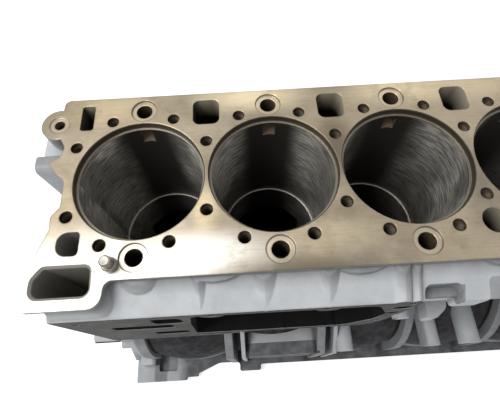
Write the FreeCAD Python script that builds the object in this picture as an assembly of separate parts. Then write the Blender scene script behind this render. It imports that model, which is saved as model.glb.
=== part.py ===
import FreeCAD, Part
import math
import os

# In-line six-cylinder diesel engine block with its main bearing caps, in millimetres.
# X runs along the crankshaft from the front end, +Z points up to the deck and +Y points to the far side.
# The origin lies on the crankshaft axis, half way between the first and the last main bearing.
# Distances along the block are counted from the first bearing plane, depths from the deck, and heights
# from the crankshaft axis. Outlines are lists of corners, each with the radius that rounds it.

# Main sizes
cylinder_count = 6
cylinder_pitch = 161.0
deck_height = 425.0
skirt_depth = 95.0
rear_overhang = 34.0
wall_front = -17.0
overlap = 10.0
margin = 1.0

# Deck: its plan ends in a cast notch, a tab and an ear at the front
deck_thickness = 22.0
deck_edge_thickness = 8.0
deck_overhang = 7.0
deck_near_edge = 122.0
deck_far_edge = 121.0
deck_rear_corner = 10.0
deck_far_corner = (-24.0, 8.0)
deck_front_edge = (
    (-25.0, 101.0, 4.0),
    (-22.0, 60.0, 2.0),
    (-15.0, 48.0, 9.0),
    (-20.0, 34.0, 9.0),
    (-33.0, 27.5, 3.0),
    (-20.0, 10.0, 6.0),
    (-9.5, 2.0, 9.0),
    (-8.8, -33.0, 8.0),
    (-18.5, -45.0, 8.0),
    (-17.0, -61.0, 8.0),
)
tab_edge = (
    (-40.8, -124.0, 14.0),
    (-36.0, -151.0, 8.0),
    (49.0, -151.0, 24.0),
)
tab_end = (51.5, 9.0)
tab_slot = (
    (-26.0, -136.5, 13.0),
    (35.5, -136.5, 8.0),
    (34.0, -105.5, 6.0),
    (-16.5, -105.5, 5.0),
    (-26.0, -117.5, 8.0),
)
tab_slot_depth = 135.0
tab_slot_chamfer = 3.0

# Cylinder bores, each stepped down from the liner's seat
seat_diameter = 156.0
seat_depth = 9.0
liner_bore_diameter = 150.0
lower_ledge_depth = 200.0
lower_bore_diameter = 144.0
bore_chamfer = 1.0
port_width = 16.5
port_height = 17.0
port_depth = 12.0
port_lip = 6.0
port_run_in = 3.0

# Head bolt holes: an inner pair on each bearing plane and four outer ones round each cylinder
bolt_hole_diameter = 15.0
bolt_hole_depth = 95.0
inner_bolt_offset = 46.4
outer_bolt_offset = 82.5
outer_bolt_spread = 38.7
bolt_column_radius = 17.0

# Coolant holes, one on each side of every cylinder
coolant_hole_diameter = 20.5
coolant_ring_diameter = 32.5
coolant_ring_depth = 2.5
coolant_hole_depth = 62.0
coolant_offset = 98.0
coolant_column_radius = 20.0
coolant_column_depth = 80.0

# Breathing passages in the far side and oil drains in the near side
passage_length = 34.0
passage_width = 38.0
passage_offset = 91.0
passage_corner = 9.0
passage_wall = 9.0
passage_wall_corner = 8.0
passage_floor = 145.0
end_passage_corner = 4.0
drain_planes = (0, 3, 6)
drain_diameter = 30.0
drain_offset = 79.0
drain_window_half = 13.0
end_drain_shift = 7.6
end_drain_width = 28.0
end_drain_flat = 11.5
end_drain_corner = 5.0
window_low = 112.0
window_high = 150.0

# Ear with its spotface, at the front far corner
ear_x = -27.3
ear_y = 83.2
ear_radius = 22.5
ear_hole_diameter = 13.4
ear_hole_depth = 82.0
spotface_diameter = 25.0
spotface_depth = 1.5

# Jackets round the cylinders
jacket_foot = 135.0
jacket_wall = 22.0
jacket_core_width = 84.0
jacket_near_face = 112.0

# Shoulder and machined side flange round the cooler cavity
shoulder_top = 12.0
shoulder_root = 119.0
shoulder_corner = 4.0
flange_y = 158.0
flange_top = 34.0
flange_bottom = 262.0
flange_undercut = 24.0
flange_front = -20.0
flange_rear = 398.0
flange_heel = (175.0, 8.0)
flange_toe = (385.0, 20.0)
flange_waist = 237.0
flange_rise = (205.0, 40.0)
flange_fall = (90.0, 10.0)
flange_hole_diameter = 10.0
flange_hole_depth = 23.0
flange_lugs = ((160.0, 45.0), (293.0, 45.0), (250.0, 232.0), (326.0, 232.0))
flange_bolts = ((388.0, 185.0), (388.0, 46.0), (0.0, 60.0), (0.0, 200.0))
lug_radius = 14.0
cavity_floor = 114.0
cavity_edge = (
    (136.0, 46.0, 10.0),
    (352.0, 46.0, 18.0),
    (380.0, 118.0, 26.0),
    (376.0, 165.0, 20.0),
    (345.0, 220.0, 26.0),
    (119.0, 220.0, 10.0),
    (126.0, 115.0, 12.0),
)
flange_slots = (
    (86.0, 122.0, 52.0, 92.0),
    (24.0, 104.0, 102.0, 132.0),
    (62.0, 112.0, 172.0, 204.0),
    (120.0, 190.0, 232.0, 246.0),
    (374.0, 396.0, 60.0, 80.0),
    (376.0, 396.0, 104.0, 120.0),
)
slot_sink = 38.0
slot_corner = 9.0

# Post and corner wall under the deck's tab
tab_post_head_front = -13.0
tab_post_end = 49.0
tab_post_reach = 150.0
tab_post_corner = 24.0
tab_post_flare = 12.0
tab_post_foot_corner = 30.0
tab_post_foot = 42.0
tab_post_front_corner = 3.0
corner_wall_depth = 142.0
corner_wall_front = -30.5
corner_wall_reach = 140.0
corner_wall_root = 112.0
corner_wall_round = 6.0
corner_wall_end = 5.0

# Near side behind the flange: pairs of bosses ahead of the bearing planes, over ledges and tongues
set_back_y = 137.0
set_back_bottom = 190.0
set_back_top = 30.0
set_back_lap = 4.0
arch_y = 141.0
side_boss_reach = 160.0
side_boss_proud = 2.0
side_boss_top = 36.0
side_boss_depth = 72.0
side_boss_shifts = (-99.0, -27.0)
side_boss_width = 28.0
side_boss_corner = 4.0
arch_corner = 9.0
near_rear_gap = 12.0
ledge_y = 152.0
ledge_high = 46.0
ledge_low = 70.0
tongue_start = -38.0
tongue_end = -10.0
tongue_run = 12.0
tongue_reach = 164.0
tongue_slant = 12.0
tongue_corners = (3.0, 5.0, 14.0)
tongue_high = 145.0
tongue_low = 175.0
pipe_boss_shift = 20.0
pipe_boss_depth = 135.0
pipe_boss_radius = 11.0
pipe_boss_reach = 163.0

# Ribs along the shoulder, and the low rounded bosses that show under the deck's edge
near_rib_list = ((150.0, 13.0), (222.0, 24.0), (293.0, 21.0))
ridge_list = ((374.0, 16.0), (389.0, 10.0))
rib_height = 8.5
rib_split = 4.0
rib_dive = 0.3
rib_root = 6.0
rib_length = 52.0
rib_gap = 0.5
pill_shift = 3.5
pill_y = 107.0
pill_radius = 28.0
pill_round = 14.0
bulge_shift = 6.0
bulge_y = 68.0
bulge_radius = 60.0
bulge_depth = 26.0

# Crankcase
main_bore_diameter = 116.0
bulkhead_thickness = 38.0
crank_clearance_radius = 152.0
bay_bulge = 18.0
crankcase_wall = 14.0
front_drum_radius = 179.0
front_drum_end = 6.0
web_thickness = 14.0
web_radius = 188.0
web_pair_gap = 28.0
web_pair_planes = (1, 2)
web_top = (125.0, 170.0)
web_foot = (194.0, 95.0, 12.0)
boss_root = 130.0
near_boss_list = (
    (362.0, 113.0, 14.0, 192.0),
    (505.0, 125.0, 16.0, 192.0),
    (572.0, 125.0, 17.5, 191.0),
    (666.0, 125.0, 16.0, 192.0),
    (733.0, 125.0, 17.5, 191.0),
)
pad_start = 193.0
pad_end = 319.0
pad_high = 100.0
pad_low = -15.0
pad_reach = 191.0
pad_corner = 10.0
mount_cylinders = (1, 4)
mount_boss_spread = 45.0
mount_boss_heights = (0.0, 50.0)
mount_boss_radius = 17.0
mount_boss_reach = 198.0
mount_hole_diameter = 14.0
mount_hole_depth = 30.0

# Pan rail with its front foot and lug
rail_half_width = 200.0
rail_thickness = 20.0
rail_corner = 8.0
rail_hole_diameter = 10.5
rail_hole_depth = 15.0
rail_hole_edge = 11.0
rail_hole_spread = 38.7
foot_start = -51.0
foot_end = 54.0
foot_proud = 24.0
foot_set_in = 22.0
foot_step = 6.0
foot_step_end = 79.0
foot_sweep_end = 124.0
foot_sweep_corner = 25.0
foot_corner = 3.0
rail_dip = 7.0
lug_proud = 12.0
rail_lug_start = 171.0
rail_lug_end = 216.0
rail_lug_corner = 4.0
foot_block_start = -38.0
foot_block_end = -7.0
foot_block_set_in = 9.0
foot_block_root = 60.0
foot_height = 46.0
foot_pocket_start = -4.0
foot_pocket_end = 35.0
foot_pocket_proud = 4.0
foot_pocket_root = 40.0
foot_pocket_depth = 14.0
foot_pocket_corner = 4.0

# Gear-case face at the front and flywheel-housing face at the rear
front_plate_x = -56.0
front_plate_top = (
    (24.0, 12.0, 9.0),
    (46.0, 12.0, 9.0),
    (52.0, 28.0, 5.0),
    (98.0, 28.0, 12.0),
    (150.0, 95.0, 24.0),
)
front_plate_cheek = (165.0, 125.0, 40.0)
front_plate_toe = 6.0
front_edge_y = 148.0
front_edge_heights = (-15.0, 190.0)
front_edge_corner = 12.0
front_shelf = ((-60.0, 255.0, 30.0), (27.0, 335.0, 20.0))
front_boss_heights = (157.0, 19.0)
front_boss_radius = 12.0
gear_pocket_top = ((48.0, 48.0, 8.0), (92.0, 48.0, 14.0), (130.0, 105.0, 16.0))
gear_pocket_side = (
    (145.0, 125.0, 30.0),
    (168.0, -62.0, 14.0),
    (-146.0, -62.0, 14.0),
    (-128.0, -5.0, 14.0),
    (-128.0, 170.0, 14.0),
    (-55.0, 230.0, 24.0),
    (48.0, 320.0, 20.0),
)
rear_plate_thickness = 18.0
rear_plate_shoulder = (150.0, 130.0, 20.0)
rear_plate_cheek = (175.0, 125.0, 30.0)

# Main bearing caps and their bolts
cap_thickness = 34.0
cap_half_width = 92.0
cap_pad_depth = 56.0
cap_pad_inner = 56.0
cap_pad_corner = 6.0
cap_nose_depth = 80.0
cap_nose_half = 44.0
cap_nose_corner = 12.0
cap_seat_clearance = 0.05
cap_bolt_y = 75.0
cap_bolt_diameter = 18.0
cap_bolt_reach = 70.0
cap_bolt_hole_end = 8.0
cap_bolt_head_height = 15.0
cap_bolt_head_across_flats = 27.0
bolt_clearance = 0.1

# Plugs, dowels and the deck stud
fit_clearance = 0.05
core_face_y = 108.0
core_boss_radius = 33.0
core_boss_root = 4.0
core_plug_diameter = 50.0
core_plug_depth = 12.0
core_plug_wall = 2.0
core_plug_sink = 1.5
core_plug_drop = 120.0
core_hole_end = 4.0
gallery_y = 152.0
gallery_z = 96.0
gallery_radius = 25.0
gallery_diameter = 20.0
gallery_plug_diameter = 30.0
gallery_plug_length = 16.0
gallery_socket_half = 5.4
gallery_socket_depth = 8.0
drain_plug_x = 860.0
drain_plug_depth = 150.0
drain_plug_diameter = 16.0
drain_plug_reach = 12.0
drain_hole_reach = 14.0
drain_plug_flats = 22.0
drain_plug_head = 9.0
dowel_diameter = 12.0
dowel_length = 30.0
dowel_stand_out = 12.0
dowel_chamfer = 1.5
front_dowel_places = ((147.0, 250.0), (-138.0, -78.0))
rear_dowel_places = ((140.0, 200.0), (-140.0, 200.0))
stud_x = 57.0
stud_y = -106.0
stud_height = 20.0
stud_diameter = 12.6
stud_chamfer = 1.5
stud_collar_diameter = 16.5
stud_collar_height = 8.0
stud_collar_chamfer = 1.0
stud_depth = 24.0
stud_end_gap = 2.0
stud_seat_depth = 1.2

# Sizes worked out from those above
block_length = cylinder_count * cylinder_pitch
first_plane = -block_length / 2
rear_end = first_plane + block_length + rear_overhang
pan_face = -skirt_depth
rail_top = pan_face + rail_thickness
deck_underside = deck_height - deck_thickness
seat_radius = seat_diameter / 2
liner_radius = liner_bore_diameter / 2
lower_radius = lower_bore_diameter / 2
main_radius = main_bore_diameter / 2
case_radius = crank_clearance_radius + crankcase_wall
rail_hole_y = rail_half_width - rail_hole_edge
front_wall = first_plane + wall_front
front_face = first_plane + front_plate_x


def plane_x(number):
    """X of a main bearing plane, counted from the front."""
    return first_plane + number * cylinder_pitch


def bore_x(number):
    """X of a cylinder's axis, counted from the front."""
    return plane_x(number) + cylinder_pitch / 2


def from_front(distance):
    """X at a distance behind the first bearing plane."""
    return first_plane + distance


def below_deck(depth):
    """Z at a depth below the deck."""
    return deck_height - depth


def point(x, y, z):
    return FreeCAD.Vector(x, y, z)


def rounded_outline(corners, place):
    """Closed wire through corners given as (u, v, radius), each corner rounded to its radius."""
    ends = []
    count = len(corners)
    for index in range(count):
        u, v, radius = corners[index]
        here = point(u, v, 0)
        before = point(corners[index - 1][0], corners[index - 1][1], 0) - here
        after = point(corners[(index + 1) % count][0], corners[(index + 1) % count][1], 0) - here
        if radius <= 0:
            ends.append((here, None, here))
            continue
        half_angle = before.getAngle(after) / 2
        room = 0.48 * min(before.Length, after.Length)
        setback = min(radius / math.tan(half_angle), room)
        fitted = setback * math.tan(half_angle)
        before.normalize()
        after.normalize()
        inward = before + after
        inward.normalize()
        middle = here + inward * (fitted / math.sin(half_angle) - fitted)
        ends.append((here + before * setback, middle, here + after * setback))
    edges = []
    for index in range(count):
        start, middle, end = ends[index]
        if middle is not None:
            edges.append(Part.Arc(place(start), place(middle), place(end)).toShape())
        following = ends[(index + 1) % count][0]
        if end.distanceToPoint(following) > 1e-6:
            edges.append(Part.LineSegment(place(end), place(following)).toShape())
    return Part.Wire(edges)


def upright(corners, bottom, top):
    """Solid with a plan outline of (x, y, radius) corners between two heights."""
    wire = rounded_outline(corners, lambda p: point(p.x, p.y, bottom))
    return Part.Face(wire).extrude(point(0, 0, top - bottom))


def lengthwise(corners, start, end):
    """Solid with an outline of (y, z, radius) corners, carried along X."""
    wire = rounded_outline(corners, lambda p: point(start, p.x, p.y))
    return Part.Face(wire).extrude(point(end - start, 0, 0))


def crosswise(corners, start, end):
    """Solid with an outline of (x, z, radius) corners, carried along Y."""
    wire = rounded_outline(corners, lambda p: point(p.x, start, p.y))
    return Part.Face(wire).extrude(point(0, end - start, 0))


def rectangle(low_u, high_u, low_v, high_v, radius=0.0):
    """Corners of a rectangle, for the three solids above."""
    return [(low_u, low_v, radius), (high_u, low_v, radius), (high_u, high_v, radius), (low_u, high_v, radius)]


def placed_plan(corners):
    """Corners given by their distance from the first bearing plane, as X and Y."""
    return [(from_front(distance), y, radius) for distance, y, radius in corners]


def placed_depths(corners):
    """Corners given by a second size counted down from the deck, as heights."""
    return [(u, below_deck(depth), radius) for u, depth, radius in corners]


def block_of(low_x, high_x, low_y, high_y, low_z, high_z):
    """Plain rectangular solid between two corners."""
    return Part.makeBox(high_x - low_x, high_y - low_y, high_z - low_z, point(low_x, low_y, low_z))


def post(x, y, radius, bottom, top):
    """Vertical cylinder."""
    return Part.makeCylinder(radius, top - bottom, point(x, y, bottom), point(0, 0, 1))


def bar_along(y, z, radius, start, end):
    """Cylinder along X."""
    return Part.makeCylinder(radius, end - start, point(start, y, z), point(1, 0, 0))


def bar_across(x, z, radius, start, end):
    """Cylinder along Y."""
    return Part.makeCylinder(radius, end - start, point(x, start, z), point(0, 1, 0))


def mouth_chamfer(x, y, radius, chamfer, surface):
    """Cone that breaks the edge of an upright hole where it opens in a surface."""
    return Part.makeCone(radius, radius + 2 * chamfer, 2 * chamfer, point(x, y, surface - chamfer), point(0, 0, 1))


def joined(first, others):
    """One solid from a first shape and the shapes that touch it."""
    return first.multiFuse(others).removeSplitter()


def barrel(start, end, end_radius, floor):
    """Domed bay: a sphere's zone centred on the crank axis, carried straight down to a floor."""
    half_length = (end - start) / 2
    middle = (start + end) / 2
    crown_radius = math.sqrt(end_radius ** 2 + half_length ** 2)
    corner = point(start, end_radius, 0)
    far_corner = point(end, end_radius, 0)
    near_corner = point(start, -end_radius, 0)
    near_far_corner = point(end, -end_radius, 0)
    profile = [
        Part.LineSegment(point(start, 0, 0), corner).toShape(),
        Part.Arc(corner, point(middle, crown_radius, 0), far_corner).toShape(),
        Part.LineSegment(far_corner, point(end, 0, 0)).toShape(),
        Part.LineSegment(point(end, 0, 0), point(start, 0, 0)).toShape(),
    ]
    roof = Part.Face(Part.Wire(profile)).revolve(point(0, 0, 0), point(1, 0, 0), 180)
    plan = [
        Part.Arc(corner, point(middle, crown_radius, 0), far_corner).toShape(),
        Part.LineSegment(far_corner, near_far_corner).toShape(),
        Part.Arc(near_far_corner, point(middle, -crown_radius, 0), near_corner).toShape(),
        Part.LineSegment(near_corner, corner).toShape(),
    ]
    skirt = Part.Face(Part.Wire(plan)).extrude(point(0, 0, floor))
    return roof.fuse(skirt)


def tapered_bay(start, end, end_radius, bulge, floor):
    """Inside of a bay: a turned pocket with tapered ends, carried straight down to an open floor."""
    run = (end - start) / 3
    corners = [(start, end_radius), (start + run, end_radius + bulge), (end - run, end_radius + bulge)]
    corners.append((end, end_radius))
    half = [point(start, 0, 0)] + [point(x, y, 0) for x, y in corners] + [point(end, 0, 0), point(start, 0, 0)]
    roof = Part.Face(Part.makePolygon(half)).revolve(point(0, 0, 0), point(1, 0, 0), 180)
    whole = [point(x, y, 0) for x, y in corners] + [point(x, -y, 0) for x, y in corners[::-1]]
    whole.append(whole[0])
    skirt = Part.Face(Part.makePolygon(whole)).extrude(point(0, 0, floor))
    return roof.fuse(skirt)


def arched_disc(radius, start, end):
    """Half disc about the crank axis, carried straight down to the pan face."""
    drum = bar_along(0, 0, radius, start, end)
    upper = block_of(start, end, -radius, radius, 0, radius)
    skirt = block_of(start, end, -radius, radius, pan_face + margin, 0)
    return drum.common(upper).fuse(skirt)


def deck_slab():
    """Machined deck with the ear, the cast notch and the tab round the front near corner, on a set-back body."""
    distance, radius = deck_far_corner
    front_edge = [(from_front(distance), deck_far_edge, radius)] + placed_plan(deck_front_edge)
    distance, radius = tab_end
    tab = placed_plan(tab_edge) + [(from_front(distance), -deck_near_edge, radius)]
    rear = [(rear_end, -deck_near_edge, deck_rear_corner), (rear_end, deck_far_edge, deck_rear_corner)]
    top = upright(front_edge + tab + rear, below_deck(deck_edge_thickness), deck_height)
    set_back = -deck_near_edge + deck_overhang
    lower_edge = [
        (front_wall, set_back, 0),
        (rear_end, set_back, deck_rear_corner),
        (rear_end, deck_far_edge, deck_rear_corner),
    ]
    body = upright(front_edge + lower_edge, deck_underside, below_deck(deck_edge_thickness) + margin)
    ear = post(from_front(ear_x), ear_y, ear_radius, deck_underside, deck_height)
    return joined(top, [body, ear])


def jacket_body():
    """Cylinder jackets, and the columns that carry the head bolts, passages and coolant holes."""
    high = deck_underside + margin
    parts = [block_of(front_wall, rear_end, -jacket_near_face, jacket_core_width, jacket_foot, high)]
    for number in range(cylinder_count):
        x = bore_x(number)
        parts.append(post(x, 0, liner_radius + jacket_wall, jacket_foot, high))
        parts.append(post(x, coolant_offset, coolant_column_radius, below_deck(coolant_column_depth), high))
        for side in (-outer_bolt_spread, outer_bolt_spread):
            parts.append(post(x + side, outer_bolt_offset, bolt_column_radius, jacket_foot, high))
        parts.append(
            bar_across(x, below_deck(core_plug_drop), core_boss_radius, liner_radius + core_boss_root, core_face_y)
        )
    half = passage_length / 2 + passage_wall
    inner = passage_offset - passage_width / 2 - passage_wall
    outer = passage_offset + passage_width / 2 + passage_wall
    for number in range(cylinder_count + 1):
        start = max(plane_x(number) - half, front_wall)
        end = min(plane_x(number) + half, rear_end)
        parts.append(upright(rectangle(start, end, inner, outer, passage_wall_corner), jacket_foot, high))
    return parts


def shoulder_section(face_y, face_top, bottom, undercut):
    """Outline of the near side: a sloping shoulder under the deck, a vertical face and an undercut."""
    root = -jacket_near_face + margin
    return [
        (root, below_deck(shoulder_top), 0),
        (-shoulder_root, below_deck(shoulder_top), shoulder_corner),
        (-face_y, below_deck(face_top), shoulder_corner),
        (-face_y, below_deck(bottom), shoulder_corner),
        (root, below_deck(bottom + undercut), 0),
    ]


def side_flange():
    """Machined flange round the cooler cavity, with its lower edge rising to a waist behind the front."""
    front = from_front(flange_front)
    rear = from_front(flange_rear)
    section = shoulder_section(flange_y, flange_top, flange_bottom, flange_undercut)
    low = below_deck(flange_bottom + flange_undercut)
    outline = [
        (front, below_deck(shoulder_top) + margin, 0),
        (rear, below_deck(shoulder_top) + margin, 0),
        (rear, below_deck(flange_heel[0]), flange_heel[1]),
        (from_front(flange_toe[0]), below_deck(flange_waist), flange_toe[1]),
        (from_front(flange_rise[0]), below_deck(flange_waist), flange_rise[1]),
        (from_front(flange_fall[0]), low, flange_fall[1]),
        (front, low, 0),
    ]
    return lengthwise(section, front, rear).common(crosswise(outline, -flange_y - margin, 0))


def tab_post():
    """Post that flares out from the deck's tab down to the flange, and the wall round the front corner."""
    front = from_front(flange_front)
    end = from_front(tab_post_end)
    head_front = from_front(tab_post_head_front)
    head = rectangle(head_front, end, -tab_post_reach, -shoulder_root)
    head[0] = (head_front, -tab_post_reach, tab_post_front_corner)
    head[1] = (end, -tab_post_reach, tab_post_corner)
    foot = rectangle(front, end + tab_post_flare, -flange_y, -shoulder_root)
    foot[0] = (front, -flange_y, tab_post_front_corner)
    foot[1] = (end + tab_post_flare, -flange_y, tab_post_foot_corner)
    head_wire = rounded_outline(head, lambda p: point(p.x, p.y, below_deck(deck_edge_thickness) + margin))
    foot_wire = rounded_outline(foot, lambda p: point(p.x, p.y, below_deck(tab_post_foot)))
    corner = [
        (front, -corner_wall_reach, 0),
        (from_front(corner_wall_front), -corner_wall_reach, corner_wall_round),
        (from_front(corner_wall_front), -corner_wall_root, corner_wall_round),
        (front_wall, -jacket_near_face + overlap, corner_wall_round),
        (from_front(corner_wall_end), -jacket_near_face + overlap, 0),
        (from_front(corner_wall_end), -corner_wall_reach, 0),
    ]
    wall = upright(corner, below_deck(corner_wall_depth), below_deck(deck_edge_thickness) + margin)
    return [Part.makeLoft([head_wire, foot_wire], True, True), wall]


def boss_row(start, end):
    """Narrow shoulder behind the flange, cut in plan to a pair of bosses ahead of each bearing plane."""
    section = shoulder_section(side_boss_reach, side_boss_top, side_boss_depth, 0)
    root = -jacket_near_face + overlap
    half = side_boss_width / 2
    outline = [(start, root, 0), (start, -flange_y, 0)]
    for number in range(3, cylinder_count + 1):
        front_boss = plane_x(number) + side_boss_shifts[0]
        rear_boss = plane_x(number) + side_boss_shifts[1]
        if number > 3:
            outline.append((front_boss - half, -set_back_y, side_boss_corner))
            outline.append((front_boss - half, -flange_y, side_boss_corner))
        outline.append((front_boss + half, -flange_y, side_boss_corner))
        outline.append((front_boss + half, -arch_y, arch_corner))
        outline.append((rear_boss - half, -arch_y, arch_corner))
        outline.append((rear_boss - half - side_boss_proud, -side_boss_reach, side_boss_corner))
        outline.append((rear_boss + half + side_boss_proud, -side_boss_reach, side_boss_corner))
        outline.append((rear_boss + half, -set_back_y, side_boss_corner))
    outline.append((end, -set_back_y, 0))
    outline.append((end, root, 0))
    row = upright(outline, below_deck(side_boss_depth) - margin, deck_height)
    return row.common(lengthwise(section, start, end))


def set_back_side():
    """Near side behind the flange: the boss row, the wall under it, and a ledge and a tongue at each pair."""
    start = from_front(flange_rear) - overlap
    end = rear_end - near_rear_gap
    root = -set_back_y + set_back_lap
    parts = [
        boss_row(start, end),
        block_of(start + overlap, end, -set_back_y, -jacket_near_face, below_deck(set_back_bottom),
                 below_deck(set_back_top)),
    ]
    half = side_boss_width / 2
    for number in range(3, cylinder_count + 1):
        front_boss = plane_x(number) + side_boss_shifts[0]
        rear_boss = plane_x(number) + side_boss_shifts[1]
        parts.append(
            block_of(front_boss + half - margin, rear_boss - half + margin, -ledge_y, root, below_deck(ledge_low),
                     below_deck(ledge_high))
        )
        first, second, third = tongue_corners
        tongue = [
            (plane_x(number) + tongue_start, root, 0),
            (plane_x(number) + tongue_start, -tongue_reach, first),
            (plane_x(number) + tongue_start + tongue_run, -tongue_reach, second),
            (plane_x(number) + tongue_end, -tongue_reach + tongue_slant, third),
            (plane_x(number) + tongue_end + set_back_lap, root, 0),
        ]
        parts.append(upright(tongue, below_deck(tongue_low), below_deck(tongue_high)))
        parts.append(
            bar_across(front_boss + pipe_boss_shift, below_deck(pipe_boss_depth), pipe_boss_radius,
                       -pipe_boss_reach, -jacket_near_face)
        )
    return parts


def pointed_rib(distance, radius, dive):
    """Rib with a sharp crest along the shoulder; with a dive it sinks into it and ends in a point."""
    fall = (flange_top - shoulder_top) / (flange_y - shoulder_root)
    slope = point(0, -1.0, -fall - dive)
    slope.normalize()
    across = point(0, slope.z, -slope.y)
    shapes = []
    for side in (-1, 1):
        start = point(from_front(distance) + side * rib_split, -shoulder_root, below_deck(shoulder_top))
        start = start - slope * rib_root + across * (rib_height - radius)
        shapes.append(Part.makeCylinder(radius, rib_length, start, slope))
    return shapes[0].common(shapes[1])


def near_ribs():
    """Pointed ribs on the shoulder, the pillow-shaped boss by the stud and the bulges under the deck's edge."""
    room_top = below_deck(deck_edge_thickness) - rib_gap
    room = block_of(first_plane, rear_end, -flange_y, 0, 0, room_top)
    parts = []
    for distance, radius in near_rib_list:
        parts.append(pointed_rib(distance, radius, rib_dive).common(room))
    for distance, radius in ridge_list:
        parts.append(pointed_rib(distance, radius, 0.0).common(room))
    pill = post(bore_x(0) + pill_shift, -pill_y, pill_radius, below_deck(flange_top), room_top)
    rim = [edge for edge in pill.Edges if edge.Closed and edge.BoundBox.ZMin > room_top - margin]
    parts.append(pill.makeFillet(pill_round, rim))
    for number in range(1, cylinder_count):
        parts.append(post(plane_x(number) + bulge_shift, -bulge_y, bulge_radius, below_deck(bulge_depth), room_top))
    return parts


def pan_rail():
    """Rail round the open underside, with a foot at the front near corner and a lug behind it."""
    near = -rail_half_width
    foot = near - foot_proud
    corners = [
        (from_front(foot_start), foot, foot_corner),
        (from_front(foot_end), foot, foot_corner),
        (from_front(foot_end), foot + foot_step, foot_corner),
        (from_front(foot_step_end), foot + foot_step, foot_corner),
        (from_front(foot_step_end), near - lug_proud, foot_corner),
        (from_front(foot_sweep_end), near + rail_dip, foot_sweep_corner),
        (from_front(rail_lug_start), near + rail_dip, rail_corner),
        (from_front(rail_lug_start), near - lug_proud, rail_lug_corner),
        (from_front(rail_lug_end), near - lug_proud, rail_lug_corner),
        (from_front(rail_lug_end), near, rail_lug_corner),
        (rear_end, near, rail_corner),
        (rear_end, rail_half_width, rail_corner),
        (front_face, rail_half_width, rail_corner),
        (front_face, near + foot_set_in, 0),
        (from_front(foot_start), near + foot_set_in, 0),
    ]
    rail = upright(corners, pan_face, rail_top)
    block = block_of(from_front(foot_block_start), from_front(foot_block_end), near + foot_block_set_in,
                     near + foot_block_root, pan_face, pan_face + foot_height)
    return [rail, block]


def crankcase_parts():
    """Barrel-shaped bays with a web on each inner bearing plane, the front drum and the oil gallery bar."""
    parts = pan_rail()
    for number in range(cylinder_count):
        parts.append(barrel(plane_x(number), plane_x(number + 1), case_radius, pan_face + margin))
    parts.append(arched_disc(front_drum_radius, front_wall, from_front(front_drum_end)))
    parts.append(bar_along(gallery_y, gallery_z, gallery_radius, front_wall, rear_end - margin))
    web = [
        (-web_top[0], web_top[1], 0),
        (-web_foot[0], web_foot[1], web_foot[2]),
        (-web_foot[0], pan_face + margin, 0),
        (-web_top[0], pan_face + margin, 0),
    ]
    for number in range(1, cylinder_count):
        start = plane_x(number) - web_thickness / 2
        parts.append(arched_disc(web_radius, start, start + web_thickness))
        if number in web_pair_planes:
            parts.append(lengthwise(web, start, start + web_thickness))
            parts.append(lengthwise(web, start + web_pair_gap, start + web_pair_gap + web_thickness / 2))
    return parts


def crankcase_bosses():
    """Bosses and the pad that stand out of the near crankcase wall, and the engine mount bosses far side."""
    parts = []
    for distance, height, radius, reach in near_boss_list:
        parts.append(bar_across(from_front(distance), height, radius, -reach, -boss_root))
    pad = rectangle(from_front(pad_start), from_front(pad_end), pad_low, pad_high, pad_corner)
    parts.append(crosswise(pad, -pad_reach, -boss_root))
    for x, z in mount_places():
        parts.append(bar_across(x, z, mount_boss_radius, boss_root, mount_boss_reach))
    return parts


def mount_places():
    """X and Z of the engine mount bosses."""
    places = []
    for number in mount_cylinders:
        for shift in (-mount_boss_spread, mount_boss_spread):
            for height in mount_boss_heights:
                places.append((bore_x(number) + shift, height))
    return places


def end_plates():
    """Gear-case face at the front and flywheel-housing face at the rear."""
    toe = rail_half_width - foot_set_in
    front_outline = placed_depths(front_plate_top) + [
        front_plate_cheek,
        (rail_half_width, rail_top, front_plate_toe),
        (rail_half_width, pan_face, 0),
        (-toe, pan_face, 0),
        (-toe, rail_top, front_plate_toe),
    ]
    for height in front_edge_heights:
        front_outline.append((-front_edge_y, height, front_edge_corner))
    front_outline += list(front_shelf)
    parts = [lengthwise(front_outline, front_face, front_wall + margin)]
    for height in front_boss_heights:
        parts.append(bar_along(-front_edge_y, height, front_boss_radius, front_face, front_wall))
    shoulder_y, shoulder_depth, shoulder_radius = rear_plate_shoulder
    cheek_y, cheek_height, cheek_radius = rear_plate_cheek
    rear_outline = []
    for side in (1, -1):
        half = [
            (side * deck_far_edge, deck_underside + margin, 0),
            (side * shoulder_y, below_deck(shoulder_depth), shoulder_radius),
            (side * cheek_y, cheek_height, cheek_radius),
            (side * rail_half_width, rail_top, front_plate_toe),
            (side * rail_half_width, pan_face, 0),
        ]
        rear_outline += half if side > 0 else half[::-1]
    parts.append(lengthwise(rear_outline, rear_end - rear_plate_thickness, rear_end))
    return parts


def cylinder_cut(number):
    """Everything that is bored for one cylinder: seat, liner bore, lower bore, coolant port."""
    x = bore_x(number)
    ledge = below_deck(lower_ledge_depth)
    parts = [
        post(x, 0, lower_radius, main_radius + margin, deck_height),
        mouth_chamfer(x, 0, lower_radius, bore_chamfer, ledge),
        post(x, 0, liner_radius, ledge, deck_height),
        post(x, 0, seat_radius, below_deck(seat_depth), deck_height + margin),
        mouth_chamfer(x, 0, seat_radius, bore_chamfer, deck_height),
    ]
    low = below_deck(port_depth + port_height)
    high = below_deck(port_depth)
    port = [
        (liner_radius - port_run_in, low - port_lip, 0),
        (liner_radius, low - port_lip, 0),
        (coolant_offset, low + port_lip, 0),
        (coolant_offset, high, 0),
        (liner_radius - port_run_in, high, 0),
    ]
    half = port_width / 2
    parts.append(lengthwise(port, x - half, x + half))
    return parts


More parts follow.
